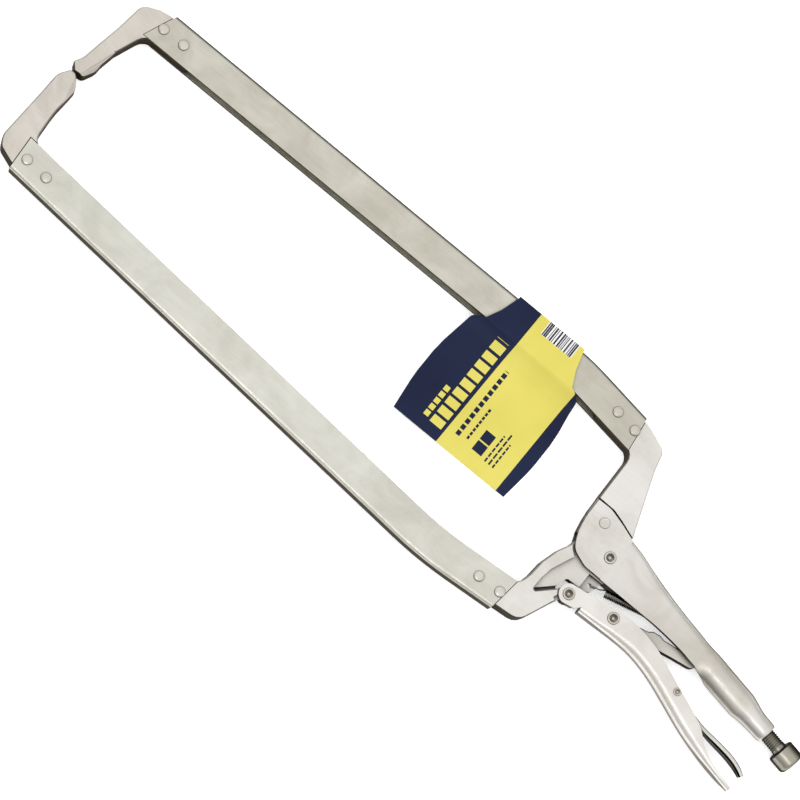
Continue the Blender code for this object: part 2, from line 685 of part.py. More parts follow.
def display_card(material, parent):
    """Folded retail card: wraps the fixed arm, and its two panels meet below it."""
    back = 88.8 + CARD_FIT
    face = HALF + CARD_FIT
    panel = CARD_SHEET + 0.1
    outer = [(back + CARD_SHEET, face + CARD_SHEET), (65.8, face + CARD_SHEET), (53.0, panel),
             (CARD_FOOT, panel)]
    outer += [(y, -z) for y, z in reversed(outer)]
    inner = [(back, face), (66.2, face), (56.0, 0.12)]
    inner += [(y, -z) for y, z in reversed(inner)]
    half_outline = [(25.3, 95.0), (25.3, 88.8), (29.0, 76.0), (33.6, 66.4), (36.0, 65.4), (41.4, 62.0, 3.0),
                    (45.6, 36.0, 60.0), (45.6, 12.0, 60.0), (42.4, CARD_FOOT - 4.0)]
    outline = rounded([(CARD_MIDDLE + x, *rest) for x, *rest in half_outline]
                      + [(CARD_MIDDLE - x, *rest) for x, *rest in reversed(half_outline)])
    item = build("display_card", across_arm(prism(outer, -60.0, 60.0)), material, parent)
    cut(item, [across_arm(prism(inner, -70.0, 70.0))], material, ".hollow")
    shape = build("display_card.outline", prism(outline, -15.0, 15.0), material, parent)
    boolean(item, shape, "INTERSECT")
    return item


def across_arm(data):
    """Turn a prism drawn in (y, z) and extruded along z so that it runs along X."""
    for vert in data.verts:
        y, z, x = vert.co
        vert.co = (x + CARD_MIDDLE, y, z)
    return data


# ---------------------------------------------------------------- assembly

def main():
    clear_scene()
    plated = metal("plated_steel", STEEL, 0.42)
    bright = metal("bright_steel", BRIGHT_STEEL, 0.36)
    dark = metal("dark_steel", DARK_STEEL, 0.45)
    printed = metal("printed_card", CARD_BLUE, 0.35, 0.0)

    frame = axis_empty("axis_frame", (0.0, 0.0))
    jaw = axis_empty("axis_movable_jaw", JAW_PIVOT)
    handle = axis_empty("axis_lower_handle", HANDLE_PIVOT)
    link = axis_empty("axis_toggle_link", LINK_PIVOT)
    lever = axis_empty("axis_release_lever", LEVER_PIVOT)
    screw = axis_empty("axis_adjusting_screw", SCREW_POINT)

    upper_arm_channel(plated, frame)
    upper_jaw(plated, frame)
    fixed_jaw_base(plated, frame)
    fixed_handle(bright, frame)
    display_card(printed, frame)
    domed_rivet("nose_rivet", NOSE_RIVET, bright, frame)
    dished_rivet("jaw_pivot_rivet", JAW_PIVOT, bright, frame)

    lower_arm_channel(plated, jaw)
    lower_jaw(plated, jaw)
    movable_jaw_base(plated, jaw)
    jaw_spring(dark, jaw)

    lower_handle(bright, handle)
    dished_rivet("handle_pivot_rivet", HANDLE_PIVOT, bright, handle)
    dished_rivet("link_pivot_rivet", LINK_PIVOT, bright, handle)
    dished_rivet("lever_pivot_rivet", LEVER_PIVOT, bright, handle, LEVER_PIN, 2.7, 1.0)
    toggle_link(plated, link)
    release_lever(bright, lever)
    adjusting_screw(dark, screw)
    adjusting_knob(dark, screw)

    for place, centres in RIVETS.items():
        parent = frame if place.startswith("upper") else jaw
        for number, centre in enumerate(centres, start=1):
            domed_rivet(f"{place}_rivet_{number}", centre, plated, parent)


main()
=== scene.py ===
"""Looks for the locking C clamp: materials, fine pieces, floor, light and camera.

Outlines are in the drawing frame of the part: millimetres from the main pivot,
X along the fixed arm, Y towards the fixed arm, Z along the hinge pins.
"""
import math

import bmesh
import bpy
from mathutils import Matrix, Vector

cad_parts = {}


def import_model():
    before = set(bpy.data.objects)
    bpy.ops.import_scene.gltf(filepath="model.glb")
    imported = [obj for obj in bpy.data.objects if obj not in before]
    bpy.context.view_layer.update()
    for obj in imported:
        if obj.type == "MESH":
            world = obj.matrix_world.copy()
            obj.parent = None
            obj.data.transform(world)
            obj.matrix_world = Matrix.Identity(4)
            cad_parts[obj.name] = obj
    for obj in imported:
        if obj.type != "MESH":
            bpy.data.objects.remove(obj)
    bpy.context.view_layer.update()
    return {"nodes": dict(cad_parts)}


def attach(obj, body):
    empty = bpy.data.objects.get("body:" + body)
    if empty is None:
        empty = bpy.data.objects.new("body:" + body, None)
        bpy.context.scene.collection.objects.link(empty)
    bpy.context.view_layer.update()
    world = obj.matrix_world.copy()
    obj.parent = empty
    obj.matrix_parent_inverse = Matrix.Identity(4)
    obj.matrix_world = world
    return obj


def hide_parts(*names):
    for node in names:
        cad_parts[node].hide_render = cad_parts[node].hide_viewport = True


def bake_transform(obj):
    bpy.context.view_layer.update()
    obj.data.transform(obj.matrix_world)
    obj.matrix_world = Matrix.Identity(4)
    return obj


MM = 0.001
# the main pivot in the frame, in millimetres, and half the width across the steel
PIVOT = Vector((137.95, -8.26, 8.6))
HALF = 7.0
# the screw's axis: the point that its distances are counted from, and its direction
SCREW_POINT = Vector((104.0, -14.3, 0.0))
SCREW_ANGLE = math.radians(-10.6)
SCREW_AXIS = Vector((math.cos(SCREW_ANGLE), math.sin(SCREW_ANGLE), 0.0))
SCREW_SIDE = Vector((-SCREW_AXIS.y, SCREW_AXIS.x, 0.0))

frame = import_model()
NODES = frame["nodes"]


def world(point):
    """A drawing point in the frame's metres."""
    return (Vector(point) + PIVOT) * MM


# ------------------------------------------------------------------ camera

CAMERA_PLACE = Vector((-0.0861, -0.5057, 2.1626))
CAMERA_RIGHT = Vector((0.7714, 0.6147, 0.1640))
CAMERA_UP = Vector((-0.6355, 0.7566, 0.1532))
CAMERA_LENS = 165.2


def add_camera():
    """Long lens from above, rolled so that the arms run from top left to bottom right."""
    right = CAMERA_RIGHT.normalized()
    up = (CAMERA_UP - right * CAMERA_UP.dot(right)).normalized()
    back = right.cross(up)
    data = bpy.data.cameras.new("camera")
    data.lens = CAMERA_LENS
    data.sensor_width = 36.0
    camera = bpy.data.objects.new("camera", data)
    turn = Matrix((right, up, back)).transposed().to_4x4()
    camera.matrix_world = Matrix.Translation(CAMERA_PLACE) @ turn
    bpy.context.scene.collection.objects.link(camera)
    bpy.context.scene.camera = camera


# ------------------------------------------------------------------ shader helpers

class Shader:
    """A small builder of node trees."""

    def __init__(self, name):
        self.material = bpy.data.materials.new(name)
        self.material.use_nodes = True
        self.tree = self.material.node_tree
        self.bsdf = self.tree.nodes["Principled BSDF"]
        coords = self.tree.nodes.new("ShaderNodeTexCoord")
        self.coords = coords.outputs["Object"]
        self.normals = coords.outputs["Normal"]

    def node(self, kind, **settings):
        """A new node with its properties set."""
        item = self.tree.nodes.new(kind)
        for key, value in settings.items():
            setattr(item, key, value)
        return item

    def link(self, source, target):
        self.tree.links.new(source, target)

    def stretched(self, scale):
        """Object coordinates, scaled along each axis."""
        mapping = self.node("ShaderNodeMapping")
        mapping.inputs["Scale"].default_value = scale
        self.link(self.coords, mapping.inputs["Vector"])
        return mapping.outputs["Vector"]

    def noise(self, scale, detail=3.0, rough=0.5, vector=None, distortion=0.0):
        item = self.node("ShaderNodeTexNoise")
        item.inputs["Scale"].default_value = scale
        item.inputs["Detail"].default_value = detail
        item.inputs["Roughness"].default_value = rough
        item.inputs["Distortion"].default_value = distortion
        self.link(vector or self.coords, item.inputs["Vector"])
        return item.outputs["Fac"]

    def remap(self, value, low, high, out_low, out_high):
        """value moved from low..high to out_low..out_high, and held there."""
        item = self.node("ShaderNodeMapRange")
        item.inputs["From Min"].default_value = low
        item.inputs["From Max"].default_value = high
        item.inputs["To Min"].default_value = out_low
        item.inputs["To Max"].default_value = out_high
        self.link(value, item.inputs["Value"])
        return item.outputs["Result"]

    def math(self, operation, first, second):
        """A sum of two values, each a socket or a number."""
        item = self.node("ShaderNodeMath", operation=operation)
        for socket, value in zip(item.inputs, (first, second)):
            if isinstance(value, (int, float)):
                socket.default_value = value
            else:
                self.link(value, socket)
        return item.outputs["Value"]

    def mix(self, factor, first, second, blend="MIX"):
        """Two colours, each a socket or a tuple, mixed by a factor."""
        item = self.node("ShaderNodeMix", data_type="RGBA", blend_type=blend)
        sockets = (item.inputs[0], item.inputs[6], item.inputs[7])
        for socket, value in zip(sockets, (factor, first, second)):
            if isinstance(value, (int, float)):
                socket.default_value = value
            elif isinstance(value, tuple):
                socket.default_value = (*value, 1.0)
            else:
                self.link(value, socket)
        return item.outputs[2]

    def bump(self, height, strength, distance, under=None):
        """Relief from a height, laid over another bump's normal."""
        item = self.node("ShaderNodeBump")
        item.inputs["Strength"].default_value = strength
        item.inputs["Distance"].default_value = distance
        self.link(height, item.inputs["Height"])
        if under is not None:
            self.link(under, item.inputs["Normal"])
        return item.outputs["Normal"]


# ------------------------------------------------------------------ metals

# shared by every metal: how far a corner gathers painted shade, how quickly the painted shade on a
# side grows as it turns from Z, what is left of a grazing reflection, and the tone of the painted
# shade on the sides towards -Y
SHADOW_REACH = 0.009
SIDE_FADE = 0.35
GRAZING_TINT = (0.30, 0.28, 0.26, 1.0)
PAINTED_SIDE_SHADE = (0.012, 0.009, 0.006)

# bright, dull and the stain tone are the cloudy tones, and the stain tone, dimmed, also colours the painted
# shade in corners and on the sides; edge is the share of tone left on the sheared and bent sides,
# which get painted shade from onset; lean makes the painted shade start sooner on the sides towards
# +Y, and inner is the share of tone left on the sides towards -Y, which are painted near black as shade
METALS = {
    "plated_sheet": dict(
        bright=(0.70, 0.68, 0.60), dull=(0.60, 0.58, 0.50), stain_and_shade=(0.46, 0.43, 0.34),
        roughness=0.38, grain=1.0, edge=0.10, onset=0.94),
    "plated_sheet_pale": dict(
        bright=(0.77, 0.76, 0.69), dull=(0.67, 0.66, 0.59), stain_and_shade=(0.52, 0.49, 0.41),
        roughness=0.38, grain=1.0, edge=0.10, onset=0.94),
    "plated_forging": dict(
        bright=(0.78, 0.74, 0.68), dull=(0.67, 0.63, 0.57), stain_and_shade=(0.52, 0.46, 0.37),
        roughness=0.42, grain=1.5, edge=0.04, lean=-0.3),
    "plated_forging_pale": dict(
        bright=(0.85, 0.83, 0.79), dull=(0.76, 0.74, 0.69), stain_and_shade=(0.60, 0.56, 0.49),
        roughness=0.42, grain=1.2, edge=0.04, lean=-0.3),
    "handle_steel": dict(
        bright=(0.84, 0.82, 0.79), dull=(0.70, 0.67, 0.61), stain_and_shade=(0.54, 0.50, 0.42),
        roughness=0.38, grain=0.7, edge=0.34, onset=0.68),
    "handle_steel_pale": dict(
        bright=(0.95, 0.93, 0.90), dull=(0.83, 0.80, 0.76), stain_and_shade=(0.62, 0.58, 0.50),
        roughness=0.40, grain=0.7, edge=0.34, onset=0.80),
    "lever_steel": dict(
        bright=(0.90, 0.88, 0.85), dull=(0.78, 0.75, 0.71), stain_and_shade=(0.58, 0.54, 0.47),
        roughness=0.38, grain=0.7, edge=0.40, onset=0.80, inner=0.02),
    "rivet_steel": dict(
        bright=(0.80, 0.77, 0.70), dull=(0.68, 0.64, 0.57), stain_and_shade=(0.50, 0.45, 0.36),
        roughness=0.34, grain=0.8, edge=0.24, lean=-0.5),
    "screw_steel": dict(
        bright=(0.52, 0.50, 0.43), dull=(0.38, 0.35, 0.29), stain_and_shade=(0.20, 0.17, 0.12),
        roughness=0.30, grain=0.8, edge=0.03),
    "knob_steel": dict(
        bright=(0.47, 0.45, 0.39), dull=(0.38, 0.36, 0.29), stain_and_shade=(0.19, 0.16, 0.11),
        roughness=0.36, grain=1.0, edge=0.05),
    "spring_wire": dict(
        bright=(0.50, 0.47, 0.42), dull=(0.38, 0.35, 0.30), stain_and_shade=(0.20, 0.17, 0.13),
        roughness=0.30, grain=0.6, edge=0.30),
}


def dimmed(colour, share):
    """A colour multiplied by a share."""
    return tuple(share * channel for channel in colour)


def shaded(s, colour, stain_and_shade, edge, onset, lean, inner):
    """Painted shade: darker corners by occlusion, and darker sides where the surface turns from Z."""
    # painted shade: corners and gaps near other surfaces turn towards a dim stain tone
    occlusion = s.node("ShaderNodeAmbientOcclusion", samples=6)
    occlusion.inputs["Distance"].default_value = SHADOW_REACH
    open_sky = s.remap(occlusion.outputs["AO"], 0.30, 0.92, 0.0, 1.0)
    colour = s.mix(open_sky, dimmed(stain_and_shade, 0.16), colour)
    # painted shade: sides that turn from Z darken, sooner towards +Y when lean is positive
    facing = s.node("ShaderNodeSeparateXYZ")
    s.link(s.normals, facing.inputs[0])
    upright = s.math("ABSOLUTE", facing.outputs[2], 0.0)
    flat = s.math("SUBTRACT", upright, s.math("MULTIPLY", facing.outputs[1], lean))
    sides = s.remap(flat, onset, onset - SIDE_FADE, 0.0, 1.0)
    colour = s.mix(s.math("MULTIPLY", sides, 1.0 - edge), colour, dimmed(stain_and_shade, 0.1))
    # painted shade: sides facing -Y turn near black
    if inner < 1.0:
        below = s.remap(facing.outputs[1], -0.35, -0.7, 0.0, 1.0)
        colour = s.mix(s.math("MULTIPLY", below, 1.0 - inner), colour, PAINTED_SIDE_SHADE)
    return colour


def steel(name, bright, dull, stain_and_shade, roughness, grain, edge, onset=0.90, lean=0.35, inner=1.0):
    """Plated steel: cloudy tone, fine tumbled grain, rolling marks, and painted shade in corners and on the
    sides.
    """
    s = Shader(name)
    cloud = s.noise(38.0, 4.0, 0.6, distortion=0.6)
    patch = s.noise(11.0, 2.0, 0.5, s.stretched((0.6, 1.4, 1.0)))
    streak = s.noise(60.0, 3.0, 0.7, s.stretched((1.0, 22.0, 22.0)))
    speck = s.noise(620.0, 3.0, 0.7)
    colour = s.mix(s.remap(cloud, 0.36, 0.66, 0.0, 1.0), bright, dull)
    colour = s.mix(s.remap(patch, 0.5, 0.78, 0.0, 0.55), colour, stain_and_shade)
    colour = s.mix(s.remap(streak, 0.3, 0.7, 0.0, 0.16), colour, dull, "MULTIPLY")
    colour = s.mix(s.remap(speck, 0.58, 0.75, 0.0, 0.14), colour, stain_and_shade, "MULTIPLY")
    s.link(shaded(s, colour, stain_and_shade, edge, onset, lean, inner), s.bsdf.inputs["Base Color"])
    s.bsdf.inputs["Metallic"].default_value = 1.0
    s.bsdf.inputs["Specular Tint"].default_value = GRAZING_TINT
    rough = s.math("ADD", s.remap(cloud, 0.3, 0.7, roughness - 0.07, roughness + 0.07),
                   s.remap(streak, 0.3, 0.7, -0.04, 0.04))
    s.link(rough, s.bsdf.inputs["Roughness"])
    normal = s.bump(streak, 0.05 * grain, 0.0001)
    normal = s.bump(speck, 0.30 * grain, 0.00006, normal)
    normal = s.bump(cloud, 0.25 * grain, 0.0006, normal)
    s.link(normal, s.bsdf.inputs["Normal"])
    return s.material


# ------------------------------------------------------------------ printed card

# drawing millimetres: the yellow area in x, and how much it leans for each mm of y
YELLOW_X = (-125.2, -78.7)
YELLOW_LEAN = -0.012
# rows of blocks: x range, y range, paint, length of each block and of the gap after it
PRINTED_ROWS = [
    ((-142.2, -138.6), (-3.0, 20.0), "yellow", 3.6, 1.2),
    ((-136.4, -127.6), (-4.0, 62.0), "yellow", 5.4, 1.9),
    ((-119.6, -116.6), (0.0, 50.0), "navy", 3.2, 1.3),
    ((-112.6, -111.0), (2.0, 26.0), "navy", 2.2, 0.8),
    ((-106.0, -98.6), (-1.0, 14.0), "navy", 7.0, 1.0),
    ((-95.6, -94.4), (-2.0, 18.0), "navy", 3.0, 0.8),
    ((-92.6, -91.4), (-2.0, 22.0), "navy", 4.0, 0.8),
    ((-89.6, -88.4), (-2.0, 16.0), "navy", 2.6, 0.8),
]
# the striped patch by the fold
STRIPES_X = (-117.4, -94.0)
STRIPES_Y = (79.8, 90.5)


def card_material(name):
    """Coated card: navy and yellow areas, rows of plain blocks and a striped patch."""
    s = Shader(name)
    board = s.noise(900.0, 3.0, 0.6)
    cloud = s.noise(24.0, 3.0, 0.5)
    uneven = s.remap(cloud, 0.3, 0.7, 0.0, 1.0)
    paints = {"navy": s.mix(uneven, (0.002, 0.006, 0.030), (0.005, 0.011, 0.044)),
              "yellow": s.mix(uneven, (0.60, 0.53, 0.095), (0.67, 0.59, 0.12))}
    split = s.node("ShaderNodeSeparateXYZ")
    s.link(s.coords, split.inputs[0])
    x, y = split.outputs[0], split.outputs[1]

    def between(value, limits, offset):
        """1 where value lies between two limits in drawing millimetres."""
        above = s.math("GREATER_THAN", value, (limits[0] + offset) * MM)
        below = s.math("LESS_THAN", value, (limits[1] + offset) * MM)
        return s.math("MULTIPLY", above, below)

    def patch(x_limits, y_limits):
        return s.math("MULTIPLY", between(x, x_limits, PIVOT.x), between(y, y_limits, PIVOT.y))

    leaning = s.math("ADD", x, s.math("MULTIPLY", y, YELLOW_LEAN))
    colour = s.mix(between(leaning, YELLOW_X, PIVOT.x), paints["navy"], paints["yellow"])
    for x_limits, y_limits, paint, length, gap in PRINTED_ROWS:
        along = s.math("SUBTRACT", y, (y_limits[0] + PIVOT.y) * MM)
        phase = s.math("FLOORED_MODULO", along, (length + gap) * MM)
        inked = s.math("MULTIPLY", patch(x_limits, y_limits), s.math("LESS_THAN", phase, length * MM))
        colour = s.mix(inked, colour, paints[paint])
    bars = s.node("ShaderNodeTexNoise", noise_dimensions="1D")
    bars.inputs["Scale"].default_value = 900.0
    bars.inputs["Detail"].default_value = 0.0
    s.link(x, bars.inputs["W"])
    stripes = s.math("GREATER_THAN", bars.outputs["Fac"], 0.5)
    striped = s.mix(stripes, (0.75, 0.75, 0.75), (0.02, 0.02, 0.03))
    colour = s.mix(patch(STRIPES_X, STRIPES_Y), colour, striped)
    s.link(colour, s.bsdf.inputs["Base Color"])
    s.bsdf.inputs["Roughness"].default_value = 0.45
    s.bsdf.inputs["Specular IOR Level"].default_value = 0.2
    s.link(s.bump(board, 0.12, 0.0001), s.bsdf.inputs["Normal"])
    return s.material


# ------------------------------------------------------------------ mesh helpers

def add_piece(name, data, material, body, smooth=35.0):
    """Make a piece from a bmesh in drawing millimetres and let it ride on a body."""
    for vert in data.verts:
        vert.co = world(vert.co)
    bmesh.ops.recalc_face_normals(data, faces=data.faces)
    mesh = bpy.data.meshes.new(name)
    data.to_mesh(mesh)
    data.free()
    mesh.materials.append(material)
    mesh.shade_smooth()
    mesh.set_sharp_from_angle(angle=math.radians(smooth))
    item = bpy.data.objects.new(name, mesh)
    bpy.context.scene.collection.objects.link(item)
    if body:
        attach(item, body)
    return item


def turned(profile, steps, shape=None):
    """Turn (radius, z) points about Z; both ends lie on the axis.

    shape(radius, z, angle) may change a radius.
    """
    data = bmesh.new()
    rings = []
    for radius, z in profile:
        if radius < 1e-6:
            rings.append([data.verts.new((0.0, 0.0, z))])
            continue
        ring = []
        for i in range(steps):
            angle = 2.0 * math.pi * i / steps
            r = shape(radius, z, angle) if shape else radius
            ring.append(data.verts.new((r * math.cos(angle), r * math.sin(angle), z)))
        rings.append(ring)
    for first, second in zip(rings, rings[1:]):
        for i in range(steps):
            j = (i + 1) % steps
            corners = [first[i % len(first)], first[j % len(first)],
                       second[j % len(second)], second[i % len(second)]]
            data.faces.new([v for k, v in enumerate(corners) if v not in corners[:k]])
    return data


def placed(data, origin, axis):
    """Move a bmesh made about +Z at the origin onto an axis."""
    spin = Vector((0.0, 0.0, 1.0)).rotation_difference(Vector(axis)).to_matrix()
    for vert in data.verts:
        vert.co = spin @ vert.co + Vector(origin)
    return data


def rounded_profile(corners, steps=4):
    """(radius, z) points from (radius, z, rounding) corners."""
    points = []
    for i, (x, y, fillet) in enumerate(corners):
        here = Vector((x, y))
        if fillet <= 0.0 or i in (0, len(corners) - 1):
            points.append((x, y))
            continue
        back = Vector(corners[i - 1][:2]) - here
        ahead = Vector(corners[i + 1][:2]) - here
        reach = min(fillet, back.length * 0.49, ahead.length * 0.49)
        start = here + back.normalized() * reach
        end = here + ahead.normalized() * reach
        for k in range(steps + 1):
            t = k / steps
            points.append(tuple(start * (1 - t) ** 2 + here * 2 * t * (1 - t) + end * t * t))
    return points


def sweep(path, radius, sides):
    """A round wire along a path of points."""
    data = bmesh.new()
    rings = []
    last = len(path) - 1
    normal = None
    for i, point in enumerate(path):
        along = (path[min(i + 1, last)] - path[max(i - 1, 0)]).normalized()
        if normal is None:
            normal = along.orthogonal().normalized()
        normal = (normal - along * normal.dot(along)).normalized()
        side = along.cross(normal)
        ring = []
        for k in range(sides):
            angle = 2.0 * math.pi * k / sides
            out = normal * (radius * math.cos(angle)) + side * (radius * math.sin(angle))
            ring.append(data.verts.new(point + out))
        rings.append(ring)
    for first, second in zip(rings, rings[1:]):
        for k in range(sides):
            j = (k + 1) % sides
            data.faces.new((first[k], first[j], second[j], second[k]))
    data.faces.new(rings[0])
    data.faces.new(rings[-1])
    return data


def arc(centre, radius, start, end, steps):
    """Points on a circle from start to end, in degrees."""
    points = []
    for i in range(steps + 1):
        angle = math.radians(start + (end - start) * i / steps)
        points.append((centre[0] + radius * math.cos(angle), centre[1] + radius * math.sin(angle)))
    return points


def rounded(corners, turn=8.0):
    """An outline from (x, y) or (x, y, radius) corners, each radius as an arc."""
    outline = []
    for i, corner in enumerate(corners):
        here = Vector(corner[:2])
        radius = corner[2] if len(corner) > 2 else 0.0
        if radius <= 0.0:
            outline.append(tuple(here))
            continue
        back = (Vector(corners[i - 1][:2]) - here).normalized()
        ahead = (Vector(corners[(i + 1) % len(corners)][:2]) - here).normalized()
        half = back.angle(ahead) / 2.0
        centre = here + (back + ahead).normalized() * radius / math.sin(half)
        first = here + back * radius / math.tan(half) - centre
        sweep_angle = math.pi - 2.0 * half
        side = 1.0 if back.x * ahead.y - back.y * ahead.x < 0.0 else -1.0
        steps = max(1, round(math.degrees(sweep_angle) / turn))
        for k in range(steps + 1):
            outline.append(tuple(centre + Matrix.Rotation(side * sweep_angle * k / steps, 2) @ first))
    return outline


def inset(outline, gap):
    """Move every point of an outline inwards by about the gap."""
    count = len(outline)
    points = [Vector(p) for p in outline]
    area = sum(a.x * b.y - b.x * a.y for a, b in zip(points, points[1:] + points[:1]))
    turn = gap if area > 0.0 else -gap
    moved = []
    for i, point in enumerate(points):
        along = (points[(i + 1) % count] - points[i - 1]).normalized()
        moved.append((point.x - along.y * turn, point.y + along.x * turn))
    return moved


def prism(outline, low, high):
    """A plate with the given outline, between two heights."""
    data = bmesh.new()
    face = data.faces.new([data.verts.new((x, y, low)) for x, y in outline])
    moved = bmesh.ops.extrude_face_region(data, geom=[face])["geom"]
    raised = [g for g in moved if isinstance(g, bmesh.types.BMVert)]
    bmesh.ops.translate(data, verts=raised, vec=(0.0, 0.0, high - low))
    return data


def merged(parts):
    """One bmesh from several."""
    whole = bmesh.new()
    for part in parts:
        scratch = bpy.data.meshes.new("scratch")
        part.to_mesh(scratch)
        part.free()
        whole.from_mesh(scratch)
        bpy.data.meshes.remove(scratch)
    return whole


def loft(rings):
    """Join closed rings of equal length and cap both ends."""
    data = bmesh.new()
    rows = [[data.verts.new(point) for point in ring] for ring in rings]
    count = len(rows[0])
    for first, second in zip(rows, rows[1:]):
        for i in range(count):
            j = (i + 1) % count
            data.faces.new((first[i], first[j], second[j], second[i]))
    data.faces.new(rows[0])
    data.faces.new(rows[-1])
    return data


def eased(table, step):
    """Rows of numbers, filled in by a smooth curve through every row of the table."""
    rows = []
    last = len(table) - 1
    for i in range(last):
        before, here = Vector(table[max(i - 1, 0)]), Vector(table[i])
        ahead, after = Vector(table[i + 1]), Vector(table[min(i + 2, last)])
        gap = (ahead.xy - here.xy).length
        start = (ahead - before) * gap / max((ahead.xy - before.xy).length, 1e-6)
        end = (after - here) * gap / max((after.xy - here.xy).length, 1e-6)
        count = max(1, round(gap / step))
        for k in range(count):
            t = k / count
            rows.append(here * (2 * t ** 3 - 3 * t ** 2 + 1) + start * (t ** 3 - 2 * t ** 2 + t)
                        + ahead * (3 * t ** 2 - 2 * t ** 3) + end * (t ** 3 - t ** 2))
    rows.append(Vector(table[last]))
    return rows


def closed_section(half_path, wall):
    """Mirror a half path of (across, depth) and give it a wall: one closed ring."""
    outer = [(-a, d) for a, d in reversed(half_path)] + half_path[1:]
    inner = []
    for i, point in enumerate(outer):
        before = Vector(outer[max(i - 1, 0)])
        after = Vector(outer[min(i + 1, len(outer) - 1)])
        along = (after - before).normalized()
        inner.append((point[0] - along.y * wall, point[1] + along.x * wall))
    return outer + inner[::-1]


def u_path(depth, bend, half, steps=7):
    """Half of a U section from the middle of its web to its lip."""
    path = [(0.0, 0.0)]
    for i in range(steps + 1):
        angle = math.pi / 2.0 * i / steps
        path.append((half - bend + bend * math.sin(angle), bend - bend * math.cos(angle)))
    path.append((half, depth))
    return path


def folded(rows, side, wall, section):
    """A formed sheet: rows start with x, y, heading; section(row) is its half path."""
    rings = []
    for row in rows:
        angle = math.radians(row[2])
        along = Vector((math.cos(angle), math.sin(angle)))
        into = Vector((-along.y, along.x)) * side
        half_path, skew = section(row)
        depth = max(d for _, d in half_path)
        ring = []
        for across, down in closed_section(half_path, wall):
            point = Vector(row[:2]) + into * down + along * skew * down / depth
            ring.append((point.x, point.y, across))
        rings.append(ring)
    return loft(rings)


def shaped(item, cutters, joins, edge):
    """Join and cut a piece, then round its sharp edges."""
    for operation, tools in (("UNION", joins), ("DIFFERENCE", cutters)):
        for data in tools:
            tool = add_piece(item.name + ".tool", data, item.data.materials[0], None)
            modifier = item.modifiers.new("shape", "BOOLEAN")
            modifier.operation = operation
            modifier.solver = "EXACT"
            modifier.object = tool
            bake_modifiers(item)
            bpy.data.objects.remove(tool, do_unlink=True)
    bevel = item.modifiers.new("edge", "BEVEL")
    bevel.width = edge * MM
    bevel.segments = 2
    bevel.limit_method = "ANGLE"
    bevel.angle_limit = math.radians(35.0)
    bake_modifiers(item)
    item.data.shade_smooth()
    item.data.set_sharp_from_angle(angle=math.radians(40.0))
    smooth = item.modifiers.new("shade", "WEIGHTED_NORMAL")
    smooth.keep_sharp = True
    bake_modifiers(item)


def bake_modifiers(item):
    """Make the result of the modifiers the piece's own mesh."""
    bpy.context.view_layer.update()
    graph = bpy.context.evaluated_depsgraph_get()
    mesh = bpy.data.meshes.new_from_object(item.evaluated_get(graph))
    item.modifiers.clear()
    item.data = mesh


def pin_holes(centres, radius):
    """Round cutters that pass right through the part."""
    return merged([prism(arc(centre, radius, 0.0, 360.0, 40)[:-1], -12.0, 12.0) for centre in centres])


def refine(node, material, width, segments=2):
    """Keep a CAD node and soften its edges."""
    item = NODES[node]
    item.data.materials.clear()
    item.data.materials.append(material)
    weld = item.modifiers.new("weld", "WELD")
    weld.merge_threshold = 2e-6
    flat = item.modifiers.new("flat", "DECIMATE")
    flat.decimate_type = "DISSOLVE"
    flat.angle_limit = math.radians(0.6)
    bevel = item.modifiers.new("edge", "BEVEL")
    bevel.width = width * MM
    bevel.segments = segments
    bevel.limit_method = "ANGLE"
    bevel.angle_limit = math.radians(32.0)
    smooth = item.modifiers.new("shade", "WEIGHTED_NORMAL")
    smooth.weight = 60


# ------------------------------------------------------------------ handles

SHEET = 2.3
# how far a joined plate stands proud, so that no two faces lie in one plane
JOIN = 0.012
PIN_HOLE = 3.2
NOSE_HOLE = 2.7
LEVER_HOLE = 1.9
JAW_PIVOT = (0.0, 0.0)
HANDLE_PIVOT = (-6.1, -33.3)
LINK_PIVOT = (24.1, -27.5)
LEVER_PIVOT = (81.7, -37.4)
NOSE_RIVET = (-15.5, 14.4)

# the fixed handle's U: x and y of its back, heading, depth, the bend of its corners, and the
# radius of the tube that it turns into
BODY = [
    (5.0, 17.3, -3.0, 31.6, 3.2, 8.0), (15.0, 15.2, -4.0, 29.6, 4.0, 8.0), (25.0, 12.2, -5.0, 26.6, 5.0, 8.0),
    (37.0, 8.9, -6.0, 23.4, 6.0, 8.0), (49.0, 5.8, -7.5, 20.4, 6.4, 8.0), (60.0, 3.3, -8.5, 18.6, 6.4, 8.0),
    (72.0, 0.8, -9.6, 17.4, 6.4, 8.2), (80.0, -0.9, -10.2, 17.2, 6.4, 8.3)]
# its tube and neck: distance along the screw's axis, and the radii above and below it
TUBE = [(-15.0, 9.3, 9.3), (-9.0, 9.35, 9.6), (2.0, 9.35, 9.6), (15.0, 9.35, 9.4), (16.6, 9.15, 9.0),
        (18.6, 8.7, 8.5), (21.0, 8.2, 8.1), (24.5, 7.5, 7.7), (27.2, 7.2, 7.5), (29.0, 7.1, 7.3),
        (36.8, 7.0, 6.9), (37.6, 6.6, 6.5)]
TUBE_DEPTH = 17.2
TUBE_BEND = 6.4
# the tube is never wider than this across Z, so it is a little oval
TUBE_HALF = 8.5
# before this distance the section is half way between the U and the tube
HALF_CLOSED = -10.0
# from this distance the wall thins down to leave the neck's bore
NECK_START = 13.0
NECK_BORE = 5.1
# the far flange is shallower than the near one by this much, reached over a run of x
FAR_TRIM = 2.2
TRIM_START = 14.0
TRIM_RUN = 20.0
